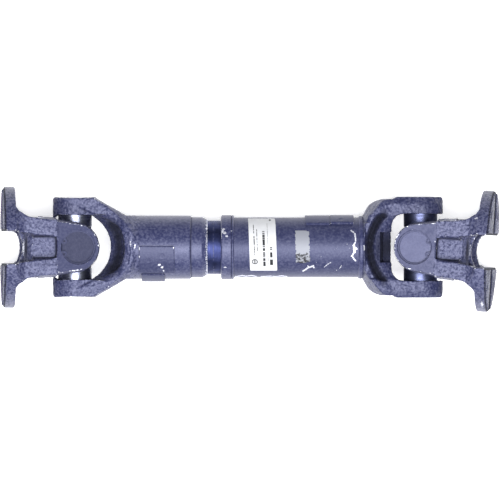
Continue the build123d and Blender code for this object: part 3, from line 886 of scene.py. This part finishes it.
def crotch_pockets():
    """The deep pockets in the weld yoke's crotch, above and below."""
    outline = [(63, 48), (62, 33), (55, 9), (44, 3), (30, 3), (30, 48)]
    cutters = []
    for sign in (1, -1):
        points = [(x, y, sign * z) for y in (-22.5, 22.5) for x, z in outline]
        count = len(outline)
        faces = [tuple(range(count)), tuple(range(count, 2 * count))]
        faces += [(i, (i + 1) % count, (i + 1) % count + count, i + count) for i in range(count)]
        cutters.append(tidy_mesh(new_mesh(points, faces)))
    return cutters


class SHAFT_OT_weld_yoke(bpy.types.Operator):
    """The forged weld yoke and the bead that joins it to the tube"""

    bl_idname = "shaft.weld_yoke"
    bl_label = "Weld yoke"

    def execute(self, context):
        place = yoke_place("right")

        def keep(point):
            return 1 - 0.9 * smoothstep(point.x, 80.0, 86.0)

        mesh = forged_skin("weld_yoke", place, ear_plugs("Y"), weld_shape, keep, 5.9)
        cutters = ear_cutters("Y") + crotch_pockets()
        for sign in (1, -1):
            low, high = sorted((sign * 74.6, sign * 80))
            cutters.append(fine_box((-45, 36.5), (low, high), (-45, 45)))
        mesh = boolean(mesh, cutters)
        # half sizes and strengths of the knocks, then of the painted shade in the moat, the crotch and the pocket
        knocks = [((86, 1, 46), (2.2, 5, 4), 1.0), ((83, -4, 45), (2.0, 3, 4), 0.9),
                  ((62, 3, 38), (1.4, 6, 5), 0.6)]
        grease = []
        for up in (1, -1):
            grease += [((50, 0, up * 14), (14, 26, 14), 1.0), ((40, 0, up * 6), (9, 25, 12), 1.0)]
            grease.append(((65, 0, up * 36), (5, 26, 10), 0.6))
            for degrees in range(-44, 45, 8):
                turn = math.radians(degrees)
                grease.append(((MOAT_CENTRE + 70 * math.cos(turn), 70 * math.sin(turn), up * 30), (7, 9, 10), 1.0))
        mark_wear(mesh, 2.2, knocks, grease)
        finish_piece("weld_yoke_forging", mesh, place, [LOOKS["weld_forging"]], "tube_assembly", ["weld_yoke"])
        self.bead()
        return {"FINISHED"}

    def bead(self):
        """A machine-laid bead: a low crown with the ripples of its pool, 2.2 mm apart."""
        start, end, segments = 163.4, 170.6, 384
        across = [(0.0, 0.0), (0.12, 0.55), (0.3, 0.95), (0.5, 1.1), (0.72, 0.95), (0.9, 0.6), (1.0, 0.2)]
        points, faces = [], []
        for i in range(segments):
            turn = 2 * math.pi * i / segments
            wander = 0.35 * noise.noise(Vector((math.cos(turn) * 4, math.sin(turn) * 4, 0)))
            for share, crown in across:
                ripple = 0.16 * math.cos(i * 2 * math.pi / 3.0 + 5.0 * share)
                radius = 44.5 + 0.35 + crown * (1.35 + ripple) + 0.8 * share
                x = start + wander + share * (end - start)
                points.append((x, radius * math.sin(turn), radius * math.cos(turn)))
            for x, radius in ((end, 44.0), (start, 44.0)):
                points.append((x, radius * math.sin(turn), radius * math.cos(turn)))
        row = len(across) + 2
        for i in range(segments):
            j = (i + 1) % segments
            for k in range(row):
                n = (k + 1) % row
                faces.append((i * row + k, i * row + n, j * row + n, j * row + k))
        mesh = mark_wear(tidy_mesh(new_mesh(points, faces)), 0)
        finish_piece("yoke_weld_bead", mesh, shaft_place(), [LOOKS["bead"]], "tube_assembly", ["yoke_weld"],
                     60)


# ---- tube and what is on it ---------------------------------------------------------------------
def on_tube(x, degrees, along_half, round_half, strength, radius=TUBE_R):
    """A chipped spot on the tube, by its place along it and its angle from straight up towards +Y."""
    y, z = at_angle(radius, degrees)
    return (x, y, z), (along_half, round_half, max(round_half, 4.0)), strength


def streak(path, half, strength=1.0, radius=TUBE_R):
    """A scrape along a path of (place along the tube, degrees from straight up), as a row of small spots."""
    spots = []
    for (x0, a0), (x1, a1) in zip(path, path[1:]):
        length = math.hypot(x1 - x0, math.radians(a1 - a0) * radius)
        count = max(1, round(length / (1.4 * half)))
        for i in range(count):
            t = i / count
            spots.append(on_tube(x0 + (x1 - x0) * t, a0 + (a1 - a0) * t, half, half, strength, radius))
    return spots


# Chips and scrapes through the tube's paint, from shipping and handling.
TUBE_CHIPS = [
    *streak([(152.5, 34), (158.0, 27), (159.0, 12), (156.0, 3), (158.0, 0), (162.0, -5)], 1.5),
    *streak([(158.0, 0), (156.5, -10), (153.5, -17), (158.5, -26), (162.0, -24)], 1.9),
    *streak([(156.0, 3), (158.0, -12)], 2.4),
    *streak([(82.0, -52), (90.0, -42), (97.0, -38), (98.0, -46)], 2.0),
    *streak([(90.0, -42), (88.0, -36)], 1.2),
    *streak([(113.0, -41), (119.0, -33), (124.0, -29)], 1.0, 0.9),
    *streak([(136.0, -44), (138.5, -36)], 1.1, 0.9),
    *streak([(105.0, -20), (112.0, -16)], 0.8, 0.7),
    *streak([(128.0, -4), (134.0, 1)], 0.8, 0.7),
    on_tube(146.0, 6, 1.6, 1.2, 0.8),
    on_tube(150.0, -2, 1.2, 1.4, 0.8),
    on_tube(131.0, -50, 1.2, 1.2, 0.85),
    on_tube(101.0, -30, 1.2, 1.2, 0.8),
    *streak([(-18.0, -77), (-8.0, -70), (-3.0, -74), (6.0, -70), (14.0, -77)], 1.4, 1.0),
    *streak([(20.0, -77), (34.0, -74), (42.0, -77), (50.0, -72), (60.0, -78)], 1.4, 1.0),
]
COLLAR_CHIPS = [
    on_tube(-37.0, 29, 2.4, 4.0, 1.0, 48.0),
    on_tube(-33.5, 26, 3.0, 2.4, 1.0, 48.0),
    on_tube(-30.5, 20, 3.0, 1.8, 1.0, 48.0),
    on_tube(-35.5, 34, 3.0, 1.6, 0.9, 48.0),
    on_tube(-33.0, -38, 3.0, 1.4, 0.95, 48.0),
    on_tube(-24.0, 30, 1.6, 1.8, 0.85, 48.0),
    *streak([(-38.5, 36), (-38.5, 14)], 0.9, 0.8, 47.6),
]


class SHAFT_OT_tube(bpy.types.Operator):
    """The drawn tube with its pressed seal collar and lip seal"""

    bl_idname = "shaft.tube"
    bl_label = "Tube and collar"

    def execute(self, context):
        place = shaft_place()
        left, right, outer, inner = -30.0, 170.0, TUBE_R, 40.45
        profile = [(left, inner + 0.4), (left, outer)] + steps(left + 2, right - 1, outer, 1.1)
        profile += [(right, outer), (right, inner)] + steps(left + 2, right - 2, inner, 20)[::-1]
        tube = mark_wear(lathe(profile, 288), 0, TUBE_CHIPS)
        finish_piece("drawn_tube", tube, place, [LOOKS["tube"]], "tube_assembly", ["tube"])
        profile = [(-39.8, 41.0), (-39.8, 45.2), (-39.4, 46.6), (-38.4, 47.6), (-37.2, 48.0)]
        profile += steps(-35.5, -26, 48.0, 1.4) + [(-24.9, 48.0), (-24.4, 47.3), (-24.0, 46.9), (-23.6, 47.3)]
        profile += [(-23.1, 48.0), (-22.2, 48.0), (-21.2, 47.6), (-20.6, 46.8), (-20.4, 45.6), (-20.4, 44.45)]
        profile += [(-30.0, 44.45), (-30.0, 43.0), (-38.3, 43.0), (-38.3, 41.0)]
        collar = mark_wear(lathe(profile, 256), 0.8, COLLAR_CHIPS)
        finish_piece("seal_collar_pressing", collar, place, [LOOKS["hub"]], "tube_assembly", ["seal_collar"],
                     40)
        profile = [(-38.3, 43.0), (-38.3, 41.7), (-37.6, 40.6), (-36.9, 39.95), (-36.2, 39.95), (-35.6, 40.7)]
        profile += [(-34.8, 41.5), (-34.0, 40.7), (-33.5, 39.95), (-32.8, 39.95), (-32.1, 40.7), (-31.4, 41.6)]
        seal = lathe(profile + [(-30.2, 43.0)], 160)
        finish_piece("lip_seal_ring", seal, place, [LOOKS["rubber"]], "tube_assembly", ["lip_seal"],
                     60)
        dress("splined_stub", LOOKS["stub"])
        return {"FINISHED"}


def round_corner(u, v, half_u, half_v, corner):
    """Draws a spot of an oblong in to its rounded corner."""
    over_u, over_v = abs(u) - half_u + corner, abs(v) - half_v + corner
    if over_u > 0 and over_v > 0:
        shrink = corner / max(corner, math.hypot(over_u, over_v))
        u = math.copysign(half_u - corner + over_u * shrink, u)
        v = math.copysign(half_v - corner + over_v * shrink, v)
    return u, v


def bent_plate(inner, thickness, x_span, angles, dimples=(), corner=2.0):
    """A plate bent round the shaft, with rounded corners and edges, and round dimples in its face."""
    (x0, x1), (a0, a1) = x_span, angles
    wide = math.radians(a1 - a0) * inner
    columns, rows = max(8, round((x1 - x0) / 1.0)), max(8, round(wide / 1.0))
    middle = math.radians((a0 + a1) / 2)
    points, faces = [], []

    def spot(u, v, depth):
        turn = middle + v / inner
        radius = inner + depth
        return ((x0 + x1) / 2 + u, radius * math.sin(turn), radius * math.cos(turn))

    half_u, half_v = (x1 - x0) / 2, wide / 2
    for layer in (0, 1):
        for i in range(columns + 1):
            for j in range(rows + 1):
                u, v = (2 * i / columns - 1) * half_u, (2 * j / rows - 1) * half_v
                u, v = round_corner(u, v, half_u, half_v, corner)
                depth = thickness * layer
                if layer:
                    edge = min(half_u - abs(u), half_v - abs(v))
                    depth -= 0.5 * (1 - smoothstep(edge, 0.0, 0.9))
                    for du, dv, size, sink in dimples:
                        away = math.hypot(u - du, v - dv)
                        depth -= sink * (1 - smoothstep(away, size * 0.55, size))
                        depth += sink * 0.35 * math.exp(-((away - size) / 0.9) ** 2)
                points.append(spot(u, v, depth))
    side = (columns + 1) * (rows + 1)

    def index(layer, i, j):
        return layer * side + i * (rows + 1) + j

    for i in range(columns):
        for j in range(rows):
            faces.append((index(1, i, j), index(1, i + 1, j), index(1, i + 1, j + 1), index(1, i, j + 1)))
            faces.append((index(0, i, j), index(0, i, j + 1), index(0, i + 1, j + 1), index(0, i + 1, j)))
    for i in range(columns):
        for j in (0, rows):
            faces.append((index(0, i, j), index(0, i + 1, j), index(1, i + 1, j), index(1, i, j)))
    for j in range(rows):
        for i in (0, columns):
            faces.append((index(0, i, j), index(0, i, j + 1), index(1, i, j + 1), index(1, i, j)))
    return tidy_mesh(new_mesh(points, faces), 1e-3)


class SHAFT_OT_balance_plates(bpy.types.Operator):
    """The balance weights: bent plates resistance-welded to the hub and the tube"""

    bl_idname = "shaft.balance_plates"
    bl_label = "Balance plates"

    def execute(self, context):
        place = shaft_place()
        dents = [(-12.5, 1.5, 4.2, 0.35), (8.0, 8.0, 4.4, 0.35)]
        chips = [on_tube(-159.5, -3, 0.9, 5, 1.0, 50.0), on_tube(-159.5, -16, 0.9, 3, 1.0, 50.0),
                 on_tube(-130.0, -31, 3.2, 2.0, 1.0, 50.0), on_tube(-126.0, -36, 2.4, 2.6, 1.0, 50.0),
                 on_tube(-124.0, -44, 1.6, 2.6, 0.9, 50.0), on_tube(-109.0, -1, 1.2, 3.0, 0.8, 50.0)]
        plates = [
            ("hub_plate_front", "slip_yoke", (47.2, 3.0, (-160, -108), (-51, 2), dents), chips),
            ("hub_plate_low", "slip_yoke", (47.2, 4.0, (-157, -123), (-100, -52), [(0, 0, 4.2, 0.3)]), []),
            ("tube_plate_left", "tube_assembly", (44.45, 3.2, (85, 121.5), (48, 100), [(0, 0, 4.0, 0.3)]), []),
            ("tube_plate_right", "tube_assembly", (44.45, 3.6, (122, 157), (50, 104), [(-2, -14, 4.4, 0.5)]), []),
        ]
        for node, body, shape, knocks in plates:
            mesh = mark_wear(bent_plate(*shape), 1.3, knocks)
            finish_piece(f"{node}_weight", mesh, place, [LOOKS["plate"]], body, [node], 40)
        return {"FINISHED"}


# The printed lines of the part label: start and end round the tube, place along it and half height.
PRINT = [(-39, 17, 1.5, 2.0), (-22, 8, -12.6, 0.9), (12, 30, -12.6, 0.5), (-15, 20, -8.2, 0.55),
         (-38, 31, 7.6, 0.22), (-37, -27, 12.0, 2.2), (-25, -16, 12.0, 2.0), (-13, -8, 12.0, 1.6),
         (38, 43, 12.0, 1.2)]


class SHAFT_OT_labels(bpy.types.Operator):
    """The printed paper label and the torn silver one"""

    bl_idname = "shaft.labels"
    bl_label = "Labels"

    def execute(self, context):
        self.part_label()
        self.test_label()
        return {"FINISHED"}

    def part_label(self):
        """A paper label wrapped round the tube, a little askew, with bars where its print is."""
        inner, thick = 44.5, 0.35
        half_u, half_v, step, corner = 20.0, 48.0, 0.5, 2.0
        middle_x, middle = 22.0, math.radians(11.5)
        columns, rows = round(2 * half_u / step), round(2 * half_v / step)
        points, ink, faces = [], [], []
        for layer in (0, 1):
            for i in range(columns + 1):
                for j in range(rows + 1):
                    u, v = (2 * i / columns - 1) * half_u, (2 * j / rows - 1) * half_v
                    u, v = round_corner(u, v, half_u, half_v, corner)
                    turn = middle + v / inner
                    x = middle_x + u + LABEL_SKEW * v
                    radius = inner + thick * layer
                    points.append((x, radius * math.sin(turn), radius * math.cos(turn)))
                    ink.append(self.ink(u, v) if layer else 0.0)
        side = (columns + 1) * (rows + 1)
        for i in range(columns):
            for j in range(rows):
                a, b, c, d = (i * (rows + 1) + j, (i + 1) * (rows + 1) + j, (i + 1) * (rows + 1) + j + 1,
                              i * (rows + 1) + j + 1)
                faces.append((side + a, side + b, side + c, side + d))
                faces.append((a, d, c, b))
        rim = [(i * (rows + 1) + j, (i + 1) * (rows + 1) + j) for i in range(columns) for j in (0, rows)]
        rim += [(i * (rows + 1) + j, i * (rows + 1) + j + 1) for j in range(rows) for i in (0, columns)]
        faces += [(a, b, side + b, side + a) for a, b in rim]
        mesh = new_mesh(points, faces)
        layer = mesh.attributes.new("ink", "FLOAT", "POINT")
        layer.data.foreach_set("value", ink)
        mesh = tidy_mesh(mesh, 1e-3)
        finish_piece("part_label_paper", mesh, shaft_place(), [LOOKS["label"]], "tube_assembly", ["part_label"],
                     40)

    def ink(self, u, v):
        """How much of the print covers a spot: broken bars for lines of figures, and a round mark."""
        for start, end, across, half in PRINT:
            if start < v < end and abs(u - across) < half:
                beat = noise.noise(Vector((v * 0.9, across * 3.1, 0.5)))
                return 1.0 if beat > -0.30 else 0.1
        ring = math.hypot(u + 12.6, v + 31.0)
        if ring < 4.4:
            return 1.0 if ring > 3.1 or abs(u + 12.6) < 0.9 else 0.2
        return 0.0

    def test_label(self):
        """A silver film label with torn edges, made of small cells that the tear leaves or takes."""
        inner, thick, step = 44.5, 0.3, 0.6
        half_u, half_v, middle_x, middle = 10.6, 25.2, 80.8, math.radians(1.0)
        columns, rows = round(2 * half_u / step), round(2 * half_v / step)
        bm = bmesh.new()
        ink = bm.verts.layers.float.new("ink")
        grid = {}
        for i in range(columns + 1):
            for j in range(rows + 1):
                u, v = (2 * i / columns - 1) * half_u, (2 * j / rows - 1) * half_v
                turn, radius = middle + v / inner, inner + thick
                x = middle_x + u + LABEL_SKEW * v
                vertex = bm.verts.new((x, radius * math.sin(turn), radius * math.cos(turn)))
                vertex[ink] = 0.24 * smoothstep(-v, 6.0, 12.0)
                grid[i, j] = vertex
        for i in range(columns):
            for j in range(rows):
                u, v = (2 * (i + 0.5) / columns - 1) * half_u, (2 * (j + 0.5) / rows - 1) * half_v
                edge = min(half_u - abs(u), half_v - abs(v))
                tear = noise.noise(Vector((u * 0.22, v * 0.22, 2.0)))
                tear += 0.5 * noise.noise(Vector((u * 0.6, v * 0.6, 7.0)))
                if edge < 0.5 + (6.0 if v < -12 else 1.5) * max(0.0, tear) and tear > 0.1:
                    continue
                bm.faces.new((grid[i, j], grid[i + 1, j], grid[i + 1, j + 1], grid[i, j + 1]))
        loose = [v for v in bm.verts if not v.link_faces]
        bmesh.ops.delete(bm, geom=loose, context="VERTS")
        mesh = bpy.data.meshes.new("film")
        bm.to_mesh(mesh)
        bm.free()
        mesh = with_modifier(tidy_mesh(mesh, 1e-3), "SOLIDIFY", thickness=thick, offset=-1.0)
        finish_piece("test_label_film", mesh, shaft_place(), [LOOKS["film"]], "tube_assembly", ["test_label"],
                     40)


# ---- bearings -----------------------------------------------------------------------------------
class SHAFT_OT_bearings(bpy.types.Operator):
    """Bearing cups, circlips, seals, needles, washers, crosses and grease nipples"""

    bl_idname = "shaft.bearings"
    bl_label = "Bearings"

    def execute(self, context):
        for side in SIDES:
            places = {"shaft": (yoke_place(side), "Y", SHAFT_BODY[side], ("back", "front")),
                      "flange": (flange_place(side), "Z", f"{side}_flange_yoke", ("top", "bottom"))}
            for place, axis, body, ends in places.values():
                for sign, end in zip((1, -1), ends):
                    self.cup(side, end, place, along(axis, self.sense(side, axis, sign)), body)
            for group in ("shaft", "flange"):
                dress(f"{side}_{group}_side_seals", LOOKS["rubber"])
                dress(f"{side}_{group}_side_needles", LOOKS["needle"])
                dress(f"{side}_{group}_side_thrust_washers", LOOKS["washer"])
            dress(f"{side}_cross", LOOKS["cross"])
            dress(f"{side}_grease_nipple", LOOKS["nipple"])
        return {"FINISHED"}

    def sense(self, side, axis, sign):
        """+Y of the right shaft yoke's own frame points to the front, so its back cup lies along -Y."""
        return -sign if (side, axis) == ("right", "Y") else sign

    def cup(self, side, end, place, turn, body):
        """A drawn cup with a flat floor; its wall is ground and its end painted."""
        wall = [(30.6, 20.6), (30.5, 21.2), (30.5, 24.3), (31.0, 24.85), (31.6, CUP_R), (45.0, CUP_R)]
        wall += [(60.0, CUP_R), (66.0, CUP_R), (66.0, 19.9), (33.0, 19.9), (31.0, 20.2)]
        wall = mark_wear(lathe(wall, 128), 0)
        shell = moved(wall, turn)
        finish_piece(f"{side}_cup_wall_{end}", shell, place, [LOOKS[f"{side}_cup"]], body, [f"{side}_cup_{end}"],
                     40)
        cap = [(63.0, 0), (63.0, 19.8), (65.9, 19.8), (65.9, CUP_R), (66.3, CUP_R), (66.9, 24.7)]
        cap += [(67.5, radius) for radius in (23.8, 22.0, 18.0, 14.0, 10.0, 6.0, 3.0, 0)]
        cap = mark_wear(lathe(cap, 128), 2.0)
        look = LOOKS["right_cap" if side == "right" else "cap"]
        finish_piece(f"{side}_cup_cap_{end}", moved(cap, turn), place, [look], body, [], 40)
        node = f"{side}_circlip_{end}"
        clip = with_modifier(cad_copy(node, place), "BEVEL", width=0.3, segments=2, limit_method="ANGLE",
                             angle_limit=math.radians(40))
        mark_wear(clip, 0)
        finish_piece(f"{node}_ring", clip, place, [LOOKS[f"{side}_clip"]], body, [node], 40)


# ---- studio -------------------------------------------------------------------------------------
class SHAFT_OT_studio(bpy.types.Operator):
    """Pale floor, soft lights and the camera"""

    bl_idname = "shaft.studio"
    bl_label = "Studio"

    def execute(self, context):
        settings = context.scene.shaft_studio
        mesh = box((-3, 3), (-3, 3), (-0.02, 0.0))
        floor = bpy.data.objects.new("studio_floor", mesh)
        context.scene.collection.objects.link(floor)
        # matt white with a little light of its own, so that shadows on it stay pale
        material, tree, shader = new_material("Opal acrylic, lit from below")
        place = add(tree, "TexCoord").outputs["Object"]
        tone = add(tree, "TexNoise", {"Vector": place, "Scale": 3.0, "Detail": 2.0})
        low, high = rgba([c * 0.99 for c in settings.floor]), rgba(settings.floor)
        shown = add(tree, "Mix", {"Factor": tone.outputs[0], 6: low, 7: high}, data_type="RGBA")
        feed(tree, shader, {"Base Color": shown.outputs[2], "Roughness": 0.9,
                            "Emission Color": (1, 1, 1, 1), "Emission Strength": settings.floor_glow})
        mesh.materials.append(material)
        middle = Vector((0, 0, JOINTS["left_yoke_pivot"]["pos_m"][2]))
        # name, direction from the shaft, distance, width and depth in metres, watts
        lamps = [
            ("overhead_softbox", (0.0, -0.10, 1.0), 2.4, 1.7, 0.9, 100),
            ("front_softbox", (0.0, -0.55, 0.8), 2.8, 3.0, 0.6, 60),
        ]
        for name, direction, distance, wide, deep, watts in lamps:
            data = bpy.data.lights.new(name, "AREA")
            data.shape, data.size, data.size_y, data.energy = "RECTANGLE", wide, deep, watts
            lamp = bpy.data.objects.new(name, data)
            towards = Vector(direction).normalized()
            lamp.location = middle + towards * distance
            lamp.rotation_euler = towards.to_track_quat("Z", "Y").to_euler()
            context.scene.collection.objects.link(lamp)
        world = bpy.data.worlds.new("studio_air")
        world.use_nodes = True
        world.node_tree.nodes["Background"].inputs["Color"].default_value = (1, 1, 1, 1)
        world.node_tree.nodes["Background"].inputs["Strength"].default_value = 0.08
        context.scene.world = world
        data = bpy.data.cameras.new("camera")
        data.sensor_width = 36.0
        data.lens = 36.0 * settings.camera_height / settings.view_width
        camera = bpy.data.objects.new("camera", data)
        # the shaft's origin lies a little off the middle of the view
        camera.location = middle + Vector((0.0034, -0.004, settings.camera_height))
        context.scene.collection.objects.link(camera)
        context.scene.camera = camera
        context.scene.view_settings.view_transform = "Standard"
        return {"FINISHED"}


class SHAFT_PT_panel(bpy.types.Panel):
    """Everything that dresses the shaft"""

    bl_idname = "SHAFT_PT_panel"
    bl_label = "Propeller shaft"
    bl_space_type = "VIEW_3D"
    bl_region_type = "UI"
    bl_category = "Shaft"

    def draw(self, context):
        for operator in OPERATORS:
            self.layout.operator(operator.bl_idname)
        for group in (context.scene.shaft_paint, context.scene.shaft_studio):
            for name in group.__annotations__:
                self.layout.prop(group, name)


OPERATORS = (
    SHAFT_OT_flange_yokes,
    SHAFT_OT_slip_yoke,
    SHAFT_OT_weld_yoke,
    SHAFT_OT_tube,
    SHAFT_OT_balance_plates,
    SHAFT_OT_labels,
    SHAFT_OT_bearings,
    SHAFT_OT_studio,
)
CLASSES = (PaintSettings, StudioSettings, *OPERATORS, SHAFT_PT_panel)


def register():
    for part in CLASSES:
        bpy.utils.register_class(part)
    bpy.types.Scene.shaft_paint = bpy.props.PointerProperty(type=PaintSettings)
    bpy.types.Scene.shaft_studio = bpy.props.PointerProperty(type=StudioSettings)


def unregister():
    del bpy.types.Scene.shaft_paint
    del bpy.types.Scene.shaft_studio
    for part in reversed(CLASSES):
        bpy.utils.unregister_class(part)


def main():
    """Makes every piece in order."""
    register()
    make_looks()
    for operator in OPERATORS:
        group, name = operator.bl_idname.split(".")
        getattr(getattr(bpy.ops, group), name)()


if __name__ == "__main__":
    main()
